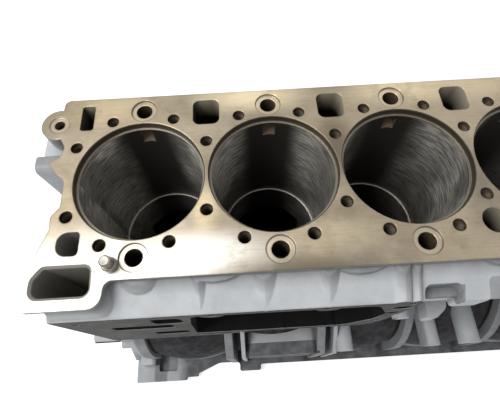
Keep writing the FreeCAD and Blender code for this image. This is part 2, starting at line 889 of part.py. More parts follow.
def head_bolt_holes():
    """Blind holes for the head bolts."""
    places = []
    for number in range(cylinder_count + 1):
        for side in (-1, 1):
            places.append((plane_x(number), side * inner_bolt_offset))
    for number in range(cylinder_count):
        for side in (-1, 1):
            for spread in (-outer_bolt_spread, outer_bolt_spread):
                places.append((bore_x(number) + spread, side * outer_bolt_offset))
    parts = []
    for x, y in places:
        parts.append(post(x, y, bolt_hole_diameter / 2, below_deck(bolt_hole_depth), deck_height + margin))
    return parts


def coolant_holes():
    """Coolant holes with the shallow recesses of their sealing rings."""
    parts = []
    top = deck_height + margin
    for number in range(cylinder_count):
        for y in (-coolant_offset, coolant_offset):
            x = bore_x(number)
            parts.append(post(x, y, coolant_hole_diameter / 2, below_deck(coolant_hole_depth), top))
            parts.append(post(x, y, coolant_ring_diameter / 2, below_deck(coolant_ring_depth), top))
    return parts


def passages():
    """Breathing passages of the far side and oil drains of the near side, from the deck into the crankcase."""
    parts = []
    top = deck_height + margin
    near = passage_offset - passage_width / 2
    far = passage_offset + passage_width / 2
    for number in range(cylinder_count + 1):
        x = plane_x(number)
        start = x if number == 0 else x - passage_length / 2
        end = x if number == cylinder_count else x + passage_length / 2
        corner = passage_corner if 0 < number < cylinder_count else end_passage_corner
        parts.append(upright(rectangle(start, end, near, far, corner), passage_floor, top))
    for number in drain_planes:
        if number > 0:
            parts.append(post(plane_x(number), -drain_offset, drain_diameter / 2, passage_floor, top))
    half = end_drain_width / 2
    x = plane_x(0) + end_drain_shift
    drain = [
        (x - half, -drain_offset - half, half),
        (x + end_drain_flat, -drain_offset - half, end_drain_corner),
        (x + end_drain_flat, -drain_offset + half, end_drain_corner),
        (x - half, -drain_offset + half, half),
    ]
    parts.append(upright(drain, passage_floor, top))
    return parts


def slot_mouth():
    """Broken edge of the tab's slot."""
    low = rounded_outline(placed_plan(tab_slot), lambda p: point(p.x, p.y, below_deck(tab_slot_chamfer)))
    wide = low.makeOffset2D(2 * tab_slot_chamfer)
    wide.translate(point(0, 0, 2 * tab_slot_chamfer))
    return Part.makeLoft([low, wide], True, True)


def front_deck_cuts():
    """Hole and spotface of the ear, slot of the tab with its broken edge, and seat of the deck stud."""
    top = deck_height + margin
    ear = from_front(ear_x)
    stud = from_front(stud_x)
    stud_hole = stud_diameter / 2 + bolt_clearance
    stud_seat = stud_collar_diameter / 2 + bolt_clearance
    return [
        post(ear, ear_y, ear_hole_diameter / 2, below_deck(ear_hole_depth), top),
        post(ear, ear_y, spotface_diameter / 2, below_deck(spotface_depth), top),
        upright(placed_plan(tab_slot), below_deck(tab_slot_depth), top),
        slot_mouth(),
        post(stud, stud_y, stud_hole, below_deck(stud_depth), top),
        post(stud, stud_y, stud_seat, below_deck(stud_seat_depth), top),
    ]


def crankcase_cuts():
    """Open bays between the bulkheads, the breathing windows through them, the line bore and the cap seats."""
    parts = []
    below = pan_face - margin
    for number in range(cylinder_count):
        start = plane_x(number) + bulkhead_thickness / 2
        end = plane_x(number + 1) - bulkhead_thickness / 2
        parts.append(tapered_bay(start, end, crank_clearance_radius, bay_bulge, below))
    mouth = passage_length / 2 + bulkhead_thickness / 2
    near = passage_offset - passage_width / 2
    for number in range(cylinder_count + 1):
        start = plane_x(number) - mouth if number > 0 else plane_x(0)
        end = plane_x(number) + mouth if number < cylinder_count else plane_x(number)
        parts.append(block_of(start, end, near, near + passage_width, window_low, window_high))
        if number in drain_planes:
            low_y = -drain_offset - drain_window_half
            high_y = -drain_offset + drain_window_half
            parts.append(block_of(start, end, low_y, high_y, window_low, window_high))
    parts.append(bar_along(0, 0, main_radius, front_face - margin, rear_end + margin))
    seat_half = cap_half_width + cap_seat_clearance
    parts.append(block_of(front_wall - margin, rear_end + margin, -seat_half, seat_half, below, 0))
    radius = cap_bolt_diameter / 2 + bolt_clearance
    for number in range(cylinder_count + 1):
        for y in (-cap_bolt_y, cap_bolt_y):
            parts.append(post(plane_x(number), y, radius, -margin, cap_bolt_reach + cap_bolt_hole_end))
    return parts


def flange_cuts():
    """The cooler cavity with its lugs, the slots beside it, and the bolt holes of the flange."""
    face = -flange_y - margin
    outline = [(from_front(distance), below_deck(depth), radius) for distance, depth, radius in cavity_edge]
    cavity = crosswise(outline, face, -cavity_floor)
    lugs = []
    for distance, depth in flange_lugs:
        lugs.append(bar_across(from_front(distance), below_deck(depth), lug_radius, face, -cavity_floor))
    parts = [cavity.cut(lugs[0].multiFuse(lugs[1:]))]
    for start, end, high, low in flange_slots:
        slot = rectangle(from_front(start), from_front(end), below_deck(low), below_deck(high), slot_corner)
        parts.append(crosswise(slot, face, -flange_y + slot_sink))
    radius = flange_hole_diameter / 2
    for distance, depth in flange_lugs + flange_bolts:
        parts.append(
            bar_across(from_front(distance), below_deck(depth), radius, face, -flange_y + flange_hole_depth)
        )
    return parts


def gear_pocket():
    """Pocket of the timing gears, open to the front."""
    return lengthwise(placed_depths(gear_pocket_top) + list(gear_pocket_side), front_face - margin, front_wall)


def plug_seats():
    """Main oil gallery with its plug seats, the core holes and the drain plug's hole."""
    seat = gallery_plug_diameter / 2 + fit_clearance
    core_seat = core_plug_diameter / 2 + fit_clearance
    drain_seat = drain_plug_diameter / 2 + fit_clearance
    parts = [
        bar_along(gallery_y, gallery_z, gallery_diameter / 2, front_face - margin, rear_end + margin),
        bar_along(gallery_y, gallery_z, seat, front_wall - margin, front_wall + gallery_plug_length),
        bar_along(gallery_y, gallery_z, seat, rear_end - gallery_plug_length, rear_end + margin),
        bar_across(from_front(drain_plug_x), below_deck(drain_plug_depth), drain_seat, -set_back_y - margin,
                   -set_back_y + drain_hole_reach),
    ]
    core_end = core_face_y - core_plug_depth - core_hole_end
    for number in range(cylinder_count):
        parts.append(
            bar_across(bore_x(number), below_deck(core_plug_drop), core_seat, core_end, core_face_y + margin)
        )
    return parts


def end_and_rail_holes():
    """Dowel holes of both end faces, pan screw holes, mount bolt holes, and the pocket in the front foot."""
    radius = dowel_diameter / 2 + fit_clearance
    sunk = dowel_length - dowel_stand_out
    parts = []
    for y, z in front_dowel_places:
        parts.append(bar_along(y, z, radius, front_face - margin, front_face + sunk))
    for y, z in rear_dowel_places:
        parts.append(bar_along(y, z, radius, rear_end - sunk, rear_end + margin))
    for number in range(cylinder_count):
        for y in (-rail_hole_y, rail_hole_y):
            for spread in (-rail_hole_spread, rail_hole_spread):
                parts.append(post(bore_x(number) + spread, y, rail_hole_diameter / 2, pan_face - margin,
                                  pan_face + rail_hole_depth))
    for x, z in mount_places():
        parts.append(bar_across(x, z, mount_hole_diameter / 2, mount_boss_reach - mount_hole_depth,
                                mount_boss_reach + margin))
    pocket = rectangle(
        from_front(foot_pocket_start), from_front(foot_pocket_end), -rail_half_width - foot_pocket_proud,
        -rail_half_width + foot_pocket_root, foot_pocket_corner
    )
    parts.append(upright(pocket, rail_top - foot_pocket_depth, pan_face + foot_height + margin))
    return parts


def build_block():
    """The whole casting with everything that is machined in it."""
    solids = jacket_body() + [side_flange()] + tab_post() + set_back_side() + near_ribs()
    solids += crankcase_parts() + crankcase_bosses() + end_plates()
    body = deck_slab().multiFuse(solids)
    cuts = head_bolt_holes() + coolant_holes() + passages() + front_deck_cuts()
    cuts += crankcase_cuts() + flange_cuts() + [gear_pocket()] + plug_seats() + end_and_rail_holes()
    for number in range(cylinder_count):
        cuts += cylinder_cut(number)
    body = body.cut(cuts[0].multiFuse(cuts[1:]))
    return body.removeSplitter()


def main_cap(number):
    """Main bearing cap: half of the line bore, two bolt pads and a deeper nose under the bore."""
    start = plane_x(number) - cap_thickness / 2
    outline = [
        (-cap_half_width, 0, 0),
        (-cap_half_width, -cap_pad_depth, cap_pad_corner),
        (-cap_pad_inner, -cap_pad_depth, cap_pad_corner),
        (-cap_nose_half, -cap_nose_depth, cap_nose_corner),
        (cap_nose_half, -cap_nose_depth, cap_nose_corner),
        (cap_pad_inner, -cap_pad_depth, cap_pad_corner),
        (cap_half_width, -cap_pad_depth, cap_pad_corner),
        (cap_half_width, 0, 0),
    ]
    cap = lengthwise(outline, start, start + cap_thickness)
    cuts = [bar_along(0, 0, main_radius, start - margin, start + cap_thickness + margin)]
    radius = cap_bolt_diameter / 2 + bolt_clearance
    for y in (-cap_bolt_y, cap_bolt_y):
        cuts.append(post(plane_x(number), y, radius, -cap_pad_depth - margin, margin))
    return cap.cut(cuts[0].multiFuse(cuts[1:]))


def hexagon(x, y, z, flats, height):
    """Hexagonal prism standing on a height, up along Z."""
    radius = flats / math.sqrt(3)
    corners = []
    for step in range(7):
        turn = math.radians(60 * step)
        corners.append(point(x + radius * math.cos(turn), y + radius * math.sin(turn), z))
    return Part.Face(Part.makePolygon(corners)).extrude(point(0, 0, height))


def cap_bolts():
    """Two bolts to a cap, with their heads under its pads and their shanks in the block."""
    bolts = []
    for number in range(cylinder_count + 1):
        for y in (-cap_bolt_y, cap_bolt_y):
            x = plane_x(number)
            head = hexagon(x, y, -cap_pad_depth - cap_bolt_head_height, cap_bolt_head_across_flats,
                           cap_bolt_head_height)
            shank = post(x, y, cap_bolt_diameter / 2, -cap_pad_depth, cap_bolt_reach)
            bolts.append(head.fuse(shank))
    return Part.makeCompound(bolts)


def core_plugs():
    """Cup plugs pressed into the core holes of the far side."""
    plugs = []
    radius = core_plug_diameter / 2
    start = core_face_y - core_plug_sink - core_plug_depth
    z = below_deck(core_plug_drop)
    for number in range(cylinder_count):
        x = bore_x(number)
        disc = bar_across(x, z, radius, start, start + core_plug_depth)
        hollow = bar_across(x, z, radius - core_plug_wall, start + core_plug_wall, start + core_plug_depth + margin)
        plugs.append(disc.cut(hollow))
    return Part.makeCompound(plugs)


def gallery_plugs():
    """Screw plugs in both ends of the main oil gallery, with a square drive socket."""
    plugs = []
    half = gallery_socket_half
    for start, mouth in ((front_wall, front_wall), (rear_end - gallery_plug_length, rear_end)):
        plug = bar_along(gallery_y, gallery_z, gallery_plug_diameter / 2, start, start + gallery_plug_length)
        drive = block_of(mouth - gallery_socket_depth, mouth + gallery_socket_depth, gallery_y - half,
                         gallery_y + half, gallery_z - half, gallery_z + half)
        plugs.append(plug.cut(drive))
    return Part.makeCompound(plugs)


def drain_plug():
    """Hexagon-headed coolant drain plug in the near wall."""
    x = from_front(drain_plug_x)
    z = below_deck(drain_plug_depth)
    shank = bar_across(x, z, drain_plug_diameter / 2, -set_back_y, -set_back_y + drain_plug_reach)
    head = hexagon(0, 0, 0, drain_plug_flats, drain_plug_head)
    head.rotate(point(0, 0, 0), point(1, 0, 0), 90)
    head.translate(point(x, -set_back_y, z))
    return shank.fuse(head)


def dowels(places, start):
    """Plain dowels along X with chamfered ends."""
    pins = []
    for y, z in places:
        pin = bar_along(y, z, dowel_diameter / 2, start, start + dowel_length)
        rims = [edge for edge in pin.Edges if edge.Closed]
        pins.append(pin.makeChamfer(dowel_chamfer, rims))
    return Part.makeCompound(pins)


def deck_stud():
    """Short stud with a chamfered top above a wider collar that sits in a shallow counterbore."""
    neck = stud_diameter / 2
    collar = stud_collar_diameter / 2
    top = deck_height + stud_height
    foot = below_deck(stud_depth - stud_end_gap)
    seat = below_deck(stud_seat_depth)
    collar_top = deck_height + stud_collar_height
    profile = [
        (0, foot),
        (neck, foot),
        (neck, seat),
        (collar, seat),
        (collar, collar_top - stud_collar_chamfer),
        (collar - stud_collar_chamfer, collar_top),
        (neck, collar_top),
        (neck, top - stud_chamfer),
        (neck - stud_chamfer, top),
        (0, top),
    ]
    x = from_front(stud_x)
    corners = [point(x + r, stud_y, z) for r, z in profile]
    corners.append(corners[0])
    return Part.Face(Part.makePolygon(corners)).revolve(point(x, stud_y, 0), point(0, 0, 1), 360)


def build_all():
    """Every piece under its own name."""
    pieces = {"cylinder_block": build_block()}
    for number in range(cylinder_count + 1):
        pieces["main_cap_" + str(number + 1)] = main_cap(number)
    pieces["main_cap_bolts"] = cap_bolts()
    pieces["core_plugs"] = core_plugs()
    pieces["gallery_plugs"] = gallery_plugs()
    pieces["drain_plug"] = drain_plug()
    pieces["deck_stud"] = deck_stud()
    pieces["front_dowels"] = dowels(front_dowel_places, front_face - dowel_stand_out)
    pieces["rear_dowels"] = dowels(rear_dowel_places, rear_end + dowel_stand_out - dowel_length)
    return pieces


os.makedirs("parts", exist_ok=True)
for name, shape in build_all().items():
    shape.exportStep("parts/" + name + ".step")
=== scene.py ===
import math
from types import SimpleNamespace

import bpy
import numpy as np
from mathutils import Matrix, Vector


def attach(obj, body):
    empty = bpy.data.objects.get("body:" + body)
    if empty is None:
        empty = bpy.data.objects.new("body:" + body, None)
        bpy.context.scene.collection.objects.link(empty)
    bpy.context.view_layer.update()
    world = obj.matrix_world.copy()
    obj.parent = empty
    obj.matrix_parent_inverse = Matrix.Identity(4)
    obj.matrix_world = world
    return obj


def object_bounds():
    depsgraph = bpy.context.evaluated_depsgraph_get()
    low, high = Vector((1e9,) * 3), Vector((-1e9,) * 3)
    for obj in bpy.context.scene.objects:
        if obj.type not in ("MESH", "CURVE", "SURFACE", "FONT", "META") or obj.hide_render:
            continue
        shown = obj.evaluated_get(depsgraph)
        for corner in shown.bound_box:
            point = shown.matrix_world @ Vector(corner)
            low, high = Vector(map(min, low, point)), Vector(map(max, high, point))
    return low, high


# A bare in-line six-cylinder diesel engine block: milled deck, bored cylinders, pale grey paint outside.
# The frame is in metres: X along the crankshaft from the front end, +Y to the far side, +Z up to the deck.
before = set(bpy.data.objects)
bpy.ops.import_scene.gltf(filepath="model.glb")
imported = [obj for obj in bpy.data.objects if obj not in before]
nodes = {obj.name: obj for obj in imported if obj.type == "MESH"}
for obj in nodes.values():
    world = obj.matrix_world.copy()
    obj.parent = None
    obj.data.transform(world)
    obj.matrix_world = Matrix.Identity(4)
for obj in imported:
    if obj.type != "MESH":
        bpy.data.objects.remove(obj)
cad_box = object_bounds()

# Sizes of the casting that its finishes follow
DECK_Z = 0.425
PITCH = 0.161
CYLINDERS = 6
FIRST_PLANE = -PITCH * CYLINDERS / 2
SEAT_RADIUS = 0.078
LINER_RADIUS = 0.075
LOWER_RADIUS = 0.072
BORE_FOOT = 0.060
FLANGE_Y = -0.158
FLANGE_Z = (0.13, 0.40)
FLANGE_END_X = FIRST_PLANE + 0.3985
COOLANT_Y = 0.098
COOLANT_RADIUS = 0.01025
COOLANT_FOOT = DECK_Z - 0.080
RING_RADIUS = 0.01625
BOLT_RADIUS = 0.0075
INNER_BOLT_Y = 0.0464
OUTER_BOLT_X = 0.0387
OUTER_BOLT_Y = 0.0825
DRAIN_Y = -0.079
DRAIN_REACH = 0.0158
PASSAGE_HALF_WIDTH = 0.0176
PASSAGE_Y = (0.0714, 0.1106)
PORT_HALF_WIDTH = 0.0087
PORT_Z = (0.385, 0.414)
EAR = (FIRST_PLANE - 0.0273, 0.0832)
EAR_SPOTFACE = 0.0125
EAR_HOLE_REACH = 0.0075
HOLE_FOOT = 0.20
TOP_BAND = 0.010
FRONT_FACE_X = -0.539
REAR_FACE_X = 0.517
PAN_FACE_Z = -0.095
CASE_RADIUS = 0.1715
CASE_TOP = 0.160
CASE_FRONT_X = FRONT_FACE_X + 0.040
DOME_RADIUS = 0.1844
CAST_EDGE_RADIUS = 0.0025

# How far a finish reaches past its face: on a plane, round a hole, and over a bore or a dome
HAIR = 0.0004
SLACK = 0.0008
SPARE = 0.0012

# Boxes, by two corners: the near side's pad and pocket, both in painted shade, the tab's slot and the front
# passage in the deck, and the hollows behind the cooler flange, painted black as shade
PAD = ((FIRST_PLANE + 0.192, -0.1920, -0.016), (FIRST_PLANE + 0.320, -0.1700, 0.1010))
POCKET = ((-0.082, -0.160, 0.370), (-0.040, -0.122, 0.3990))
CAST_HOLES = (
    ((FIRST_PLANE - 0.0292, -0.1396, 0.28), (FIRST_PLANE + 0.0385, -0.1022, DECK_Z + HAIR)),
    ((FIRST_PLANE - 0.0070, -0.0935, 0.20), (FIRST_PLANE + 0.0195, -0.0645, DECK_Z + HAIR)),
)
HOLLOWS = (
    ((-0.4995, -0.1575, 0.200), (-0.0862, -0.1190, 0.387)),
    ((-0.3630, -0.1575, 0.200), (-0.0900, -0.1120, 0.387)),
    ((-0.3630, -0.1575, 0.178), (-0.2930, -0.1190, 0.201)),
)

# Least share of the normal along an axis on a face square to it, and the most along Z on a steep face
SQUARE = 0.9
STEEP = 0.8

# Where a coat comes in, from none of it to all: along X or Z, or by the distance from a bearing plane or
# from a coolant hole's axis
DOME_SHADE_FADE_Z = (-0.060, -0.010)
RAIL_FADE_Z = (-0.040, -0.060)
RAIL_FADE_X = (-0.445, -0.425)
WEB_SHADE_FADE = (0.016, 0.011)
WEB_SHADE_FADE_Z = (0.170, 0.150)
UNDER_DECK_SHADE_FADE_Z = (DECK_Z - 0.022, DECK_Z - 0.011)
HOLE_LIGHT_FADE_Z = (DECK_Z - 0.036, DECK_Z - 0.004)
BORE_HIGHLIGHT_FADE_Z = (0.20, 0.36)
BORE_HIGHLIGHT_FADE_X = (-0.42, -0.02)
RIM_FADE = (RING_RADIUS - 0.0010, RING_RADIUS - 0.0002)

# Soft fields of the deck's stains, with painted highlights and painted dark reflections of its milled face:
# centre and reach in X and Y, share at the centre, and tone
DECK_STAIN_AND_REFLECTION_FIELDS = (
    (-0.490, -0.020, 0.040, 0.060, 0.45, "#8a7c62"),
    (-0.445, 0.105, 0.070, 0.035, 0.60, "#d6c49f"),
    (-0.262, 0.112, 0.085, 0.030, 0.85, "#f2e2bd"),
    (-0.070, 0.112, 0.080, 0.030, 0.75, "#eddcb8"),
    (0.020, 0.110, 0.110, 0.030, 0.60, "#dccbaa"),
    (-0.161, 0.030, 0.028, 0.060, 0.80, "#635a4b"),
    (-0.322, 0.030, 0.020, 0.040, 0.35, "#80745f"),
    (-0.324, -0.045, 0.018, 0.035, 0.70, "#dccaa4"),
    (-0.190, -0.085, 0.085, 0.030, 0.40, "#dccdae"),
    (-0.005, -0.035, 0.040, 0.070, 0.65, "#6d675c"),
    (-0.080, -0.140, 0.090, 0.030, 0.45, "#8f8570"),
    # Painted highlights at the near left, then painted shade along the near edge
    (-0.440, -0.130, 0.170, 0.075, 0.90, "#cfcdc6"),
    (-0.318, -0.098, 0.080, 0.030, 0.75, "#f1eee6"),
    (-0.225, -0.132, 0.120, 0.026, 0.90, "#57554e"),
)

# How far round a point the paint looks for walls that keep it in the shade
SHADE_REACH = 0.25

# Spacing of each finish's pattern
BROAD_STAIN_AND_REFLECTION = 0.180
STAIN = 0.045
DIRT = 0.020
CAST_GRAIN = 0.0025
PIT = 0.0014
MILL_STREAK = 0.0024
HIGHLIGHT_PATCH = 0.090
HONING_STROKE = 0.0024
CAP_STAIN = 0.022
CAP_GRAIN = 0.0018
FASTENER_STAIN = 0.009
THREAD_OIL = 0.0033

# How a pattern is laid: the deck's broad stains and painted reflections moved, its streaks drawn out along
# X, the bores' painted highlight patches drawn out down the wall and their strokes round it, the patches of
# one bore moved from the next one's, and the fasteners' marks drawn out across Z
BROAD_SHIFT = (1.9, 0.35, 0.0)
STREAK_DRAW = 0.08
PATCH_DRAW = 0.6
STROKE_DRAW = 0.12
BORE_SHIFT = 0.31
MARK_DRAW = (0.2, 0.2, 1.0)

# Relief of the finishes: the face mill and its feed, the turning tool's pitch, and depths
MILL_RADIUS = 0.160
MILL_FEED = 0.0022
TURNING_PITCH = 0.0018
GRAIN_DEPTH = 0.00020
MILL_DEPTH = 0.0000040
PIT_DEPTH = 0.000016
TURNING_DEPTH = 0.0000060
STROKE_DEPTH = 0.00010
CAP_DEPTH = 0.0003
MARK_DEPTH = 0.0001

# Screw threads in the head bolt holes, the cooler flange and the engine mount bosses. A ridge's foot is sunk
# in the wall, and half its width is a share of the pitch.
THREAD_STEPS = 20
THREAD_SINK = 0.0003
THREAD_HALF_FOOT = 0.36
HEAD_THREAD = {"radius": 0.0075, "pitch": 0.002, "crest": 0.0006, "start": 0.005, "length": 0.040}
FLANGE_THREAD = {"radius": 0.005, "pitch": 0.0015, "crest": 0.0005, "start": 0.0015, "length": 0.018}
MOUNT_THREAD = {"radius": 0.007, "pitch": 0.002, "crest": 0.0006, "start": 0.002, "length": 0.024}

# Screws of the cooler flange: distance behind the first bearing plane and below the deck
FLANGE_HOLES = (
    (0.160, 0.045), (0.293, 0.045), (0.250, 0.232), (0.326, 0.232),
    (0.388, 0.185), (0.388, 0.046), (0.0, 0.060), (0.0, 0.200),
)

# Engine mounts: four bosses beside the second cylinder and four beside the fifth (the first is 0)
MOUNT_FACE_Y = 0.198
MOUNT_CYLINDERS = (1, 4)
MOUNT_SPREAD = 0.045
MOUNT_HEIGHTS = (0.0, 0.050)

# Floor, with a near black patch under the block as painted shade, and lamps: place, point aimed at, size and
# power
FLOOR_REACH = 6.0
SHADE_PATCH_X = (-0.50, 0.48)
SHADE_PATCH_Y = (-0.175, 0.175)
FLOOR_GLOW = 0.62
ROOM_LIGHT = 0.45
LAMPS = {
    "left_high": ((-1.30, -0.40, 2.1), (-0.15, -0.05, 0.4), (0.8, 0.8), 26.0),
    "near_shine": ((-1.00, 0.19, 1.65), (-0.42, -0.12, 0.42), (0.74, 0.34), 6.0),
}

# Photograph's camera, fitted to the bores and bolt holes of the deck
PHOTO_WIDTH = 500
FOCAL_PIXELS = 380.0
SENSOR_WIDTH = 36.0
CAMERA_PLACE = (-0.27373, -0.22062, 0.82313)
CAMERA_RIGHT = (0.99836048, -0.05362603, -0.0200149)
CAMERA_DOWN = (-0.05708569, -0.90721756, -0.41677036)
CAMERA_FORWARD = (0.00419187, 0.41722962, -0.90879144)

# Rays that see the surround and the floor white
SEEN_RAYS = ("Is Camera Ray", "Is Glossy Ray", "Is Transmission Ray")
WHITE = (1.0, 1.0, 1.0, 1.0)


def linear(code):
    """Linear colour of an sRGB hex value."""
    values = [int(code[i:i + 2], 16) / 255 for i in (1, 3, 5)]
    return tuple(v / 12.92 if v <= 0.04045 else ((v + 0.055) / 1.055) ** 2.4 for v in values) + (1.0,)


def adder(tree):
    """The function that adds nodes to a cleared node tree."""
    tree.nodes.clear()

    def add(kind, *values, out=0, sockets=None, **settings):
        """Add a node with its settings and return an output, or all of them where out is None.

        The values fill its sockets in order, and those in sockets go by name or number.
        """
        node = tree.nodes.new("ShaderNode" + kind)
        for name, value in settings.items():
            setattr(node, name, value)
        for name, value in [*enumerate(values), *(sockets or {}).items()]:
            if isinstance(value, bpy.types.NodeSocket):
                tree.links.new(value, node.inputs[name])
            else:
                node.inputs[name].default_value = value
        return node.outputs[out] if out is not None else list(node.outputs)

    return add


def new_material(name):
    """Empty material, and the function that adds its nodes."""
    material = bpy.data.materials.new(name)
    material.use_nodes = True
    return material, adder(material.node_tree)


def all_of(add, *masks):
    """1 where every mask is: their product, which also scales a mask by a share."""
    result = masks[0]
    for mask in masks[1:]:
        result = add("Math", result, mask, operation="MULTIPLY")
    return result


def any_of(add, *masks):
    """1 where at least one mask is."""
    result = masks[0]
    for mask in masks[1:]:
        result = add("Math", result, mask, operation="MAXIMUM")
    return result


def between(add, value, low, high):
    """1 where a value lies between two limits."""
    over = add("Math", value, low, operation="GREATER_THAN")
    return all_of(add, over, add("Math", value, high, operation="LESS_THAN"))


def in_box(add, point, low, high):
    """1 inside the box between two corners, where the largest of |p - centre| - half size is under zero."""
    low, high = np.array(low), np.array(high)
    off_centre = add("VectorMath", point, tuple((low + high) / 2), operation="SUBTRACT")
    size = add("VectorMath", off_centre, operation="ABSOLUTE")
    spare = add("VectorMath", size, tuple((high - low) / 2), operation="SUBTRACT")
    x, y, z = add("SeparateXYZ", spare, out=None)
    most = add("Math", add("Math", x, y, operation="MAXIMUM"), z, operation="MAXIMUM")
    return add("Math", most, 0.0, operation="LESS_THAN")


def reach(add, u, v):
    """Distance of (u, v) from zero."""
    return add("VectorMath", add("CombineXYZ", u, v), operation="LENGTH", out="Value")


def soft_field(add, at, centre_x, centre_y, reach_x, reach_y, most):
    """Share of a stain that fades out from its centre to its reach."""
    off_x = add("Math", add("Math", at.x, centre_x, operation="SUBTRACT"), reach_x, operation="DIVIDE")
    off_y = add("Math", add("Math", at.y, centre_y, operation="SUBTRACT"), reach_y, operation="DIVIDE")
    return add("MapRange", reach(add, off_x, off_y), 1.2, 0.1, 0.0, most, interpolation_type="SMOOTHSTEP")


# A Mix node's inputs: 0 is the share, 2 and 3 are numbers, 6 and 7 are colours. Its output 2 is a colour.
def coated(add, ground, *coats):
    """Colour of a ground under coats, each a share and a tone. A tone is a hex value or another colour."""
    ground = linear(ground) if isinstance(ground, str) else ground
    for share, tone in coats:
        tone = linear(tone) if isinstance(tone, str) else tone
        ground = add("Mix", data_type="RGBA", out=2, sockets={0: share, 6: ground, 7: tone})
    return ground


def block_places(add):
    """Where a point of the block lies: on its axes, within its cylinder's length, and beside its holes."""
    at = SimpleNamespace()
    at.point = add("TexCoord", out="Object")
    at.x, at.y, at.z = add("SeparateXYZ", at.point, out=None)
    normal = add("NewGeometry", out="True Normal")
    at.normal_x, at.normal_y, at.normal_z = add("SeparateXYZ", normal, out=None)
    at.side = add("Math", at.y, operation="ABSOLUTE")

    # Within one cylinder's length: distance from its axis, and from the bearing plane at its end
    from_plane = add("Math", at.x, FIRST_PLANE, operation="SUBTRACT")
    turn = add("Math", from_plane, PITCH, operation="DIVIDE")
    at.cell = add("Math", turn, operation="FLOOR")
    local_share = add("Math", add("Math", turn, operation="FRACT"), 0.5, operation="SUBTRACT")
    local_x = add("Math", local_share, PITCH, operation="MULTIPLY")
    at.off_axis = add("Math", local_x, operation="ABSOLUTE")
    at.off_plane = add("Math", PITCH / 2, at.off_axis, operation="SUBTRACT")
    at.angle = add("Math", at.y, local_x, operation="ARCTAN2")

    # Distances from the bore's axis and from the nearest coolant hole, bolt hole, drain and the ear's hole
    at.bore = reach(add, local_x, at.y)
    at.coolant = reach(add, local_x, add("Math", at.side, COOLANT_Y, operation="SUBTRACT"))
    inner_bolt = reach(add, at.off_plane, add("Math", at.side, INNER_BOLT_Y, operation="SUBTRACT"))
    outer_bolt = reach(add, add("Math", at.off_axis, OUTER_BOLT_X, operation="SUBTRACT"),
                       add("Math", at.side, OUTER_BOLT_Y, operation="SUBTRACT"))
    at.bolt = add("Math", inner_bolt, outer_bolt, operation="MINIMUM")
    at.drain = reach(add, at.off_plane, add("Math", at.y, DRAIN_Y, operation="SUBTRACT"))
    at.ear = reach(add, add("Math", at.x, EAR[0], operation="SUBTRACT"),
                   add("Math", at.y, EAR[1], operation="SUBTRACT"))
    return at


def block_masks(add, at):
    """Where the block's finishes lie: 1 on each place and 0 off it."""
    on = SimpleNamespace()
    on.up = add("Math", at.normal_z, SQUARE, operation="GREATER_THAN")
    steep = add("Math", at.normal_z, STEEP, operation="LESS_THAN")
    along = add("Math", at.x, operation="ABSOLUTE")
    on.inboard = add("Math", along, HAIR - FIRST_PLANE, operation="LESS_THAN")
    on.near_top = add("Math", at.z, DECK_Z - TOP_BAND, operation="GREATER_THAN")

    # Machined faces: the deck and what is sunk in it, the bores, the cooler flange and the outermost faces
    on.deck = all_of(add, on.up, add("Math", at.z, DECK_Z - HAIR, operation="GREATER_THAN"))
    recess_wall = add("Math", at.coolant, RING_RADIUS - SLACK, operation="GREATER_THAN")
    on.ring = all_of(add, any_of(add, on.up, recess_wall), on.near_top,
                     add("Math", at.coolant, RING_RADIUS + HAIR, operation="LESS_THAN"))
    on.spotface = all_of(add, on.near_top, add("Math", at.ear, EAR_SPOTFACE + HAIR, operation="LESS_THAN"),
                         add("Math", at.z, DECK_Z - HAIR, operation="LESS_THAN"))
    on.bored = all_of(add, on.inboard, between(add, at.bore, LOWER_RADIUS - SPARE, SEAT_RADIUS + SPARE),
                      add("Math", at.z, BORE_FOOT, operation="GREATER_THAN"),
                      add("Math", at.side, SEAT_RADIUS + SPARE, operation="LESS_THAN"))
    on.flange = all_of(add, add("Math", at.normal_y, -SQUARE, operation="LESS_THAN"),
                       add("Math", at.y, FLANGE_Y + HAIR, operation="LESS_THAN"),
                       between(add, at.z, *FLANGE_Z),
                       add("Math", at.x, FLANGE_END_X, operation="LESS_THAN"))
    on.end_faces = any_of(add, add("Math", at.x, FRONT_FACE_X + HAIR, operation="LESS_THAN"),
                          add("Math", at.x, REAR_FACE_X - HAIR, operation="GREATER_THAN"),
                          add("Math", at.z, PAN_FACE_Z + HAIR, operation="LESS_THAN"),
                          add("Math", at.y, MOUNT_FACE_Y - HAIR, operation="GREATER_THAN"))

    # Insides of the holes that open in the deck, of the port in each bore's wall, and of the hollows
    coolant_hole = all_of(add, add("Math", at.coolant, COOLANT_RADIUS + SLACK, operation="LESS_THAN"),
                          add("Math", at.z, COOLANT_FOOT, operation="GREATER_THAN"))
    narrow = any_of(add, add("Math", at.bolt, BOLT_RADIUS + SPARE, operation="LESS_THAN"), coolant_hole,
                    add("Math", at.ear, EAR_HOLE_REACH, operation="LESS_THAN"))
    passage = all_of(add, on.inboard, add("Math", at.off_plane, PASSAGE_HALF_WIDTH, operation="LESS_THAN"),
                     between(add, at.y, *PASSAGE_Y))
    on.wide_holes = any_of(add, passage, add("Math", at.drain, DRAIN_REACH, operation="LESS_THAN"))
    on.holes = all_of(add, any_of(add, narrow, on.wide_holes), steep,
                      add("Math", at.z, HOLE_FOOT, operation="GREATER_THAN"))
    on.port = all_of(add, add("Math", at.off_axis, PORT_HALF_WIDTH, operation="LESS_THAN"),
                     between(add, at.y, LINER_RADIUS + SLACK, COOLANT_Y + SLACK),
                     between(add, at.z, *PORT_Z))
    on.cast_holes = any_of(add, *[in_box(add, at.point, *box) for box in CAST_HOLES])
    on.hollows = any_of(add, *[in_box(add, at.point, *box) for box in HOLLOWS])
    on.case = all_of(add, add("Math", reach(add, at.y, at.z), CASE_RADIUS, operation="LESS_THAN"),
                     add("Math", at.z, CASE_TOP, operation="LESS_THAN"),
                     add("Math", at.x, CASE_FRONT_X, operation="GREATER_THAN"))
    return on


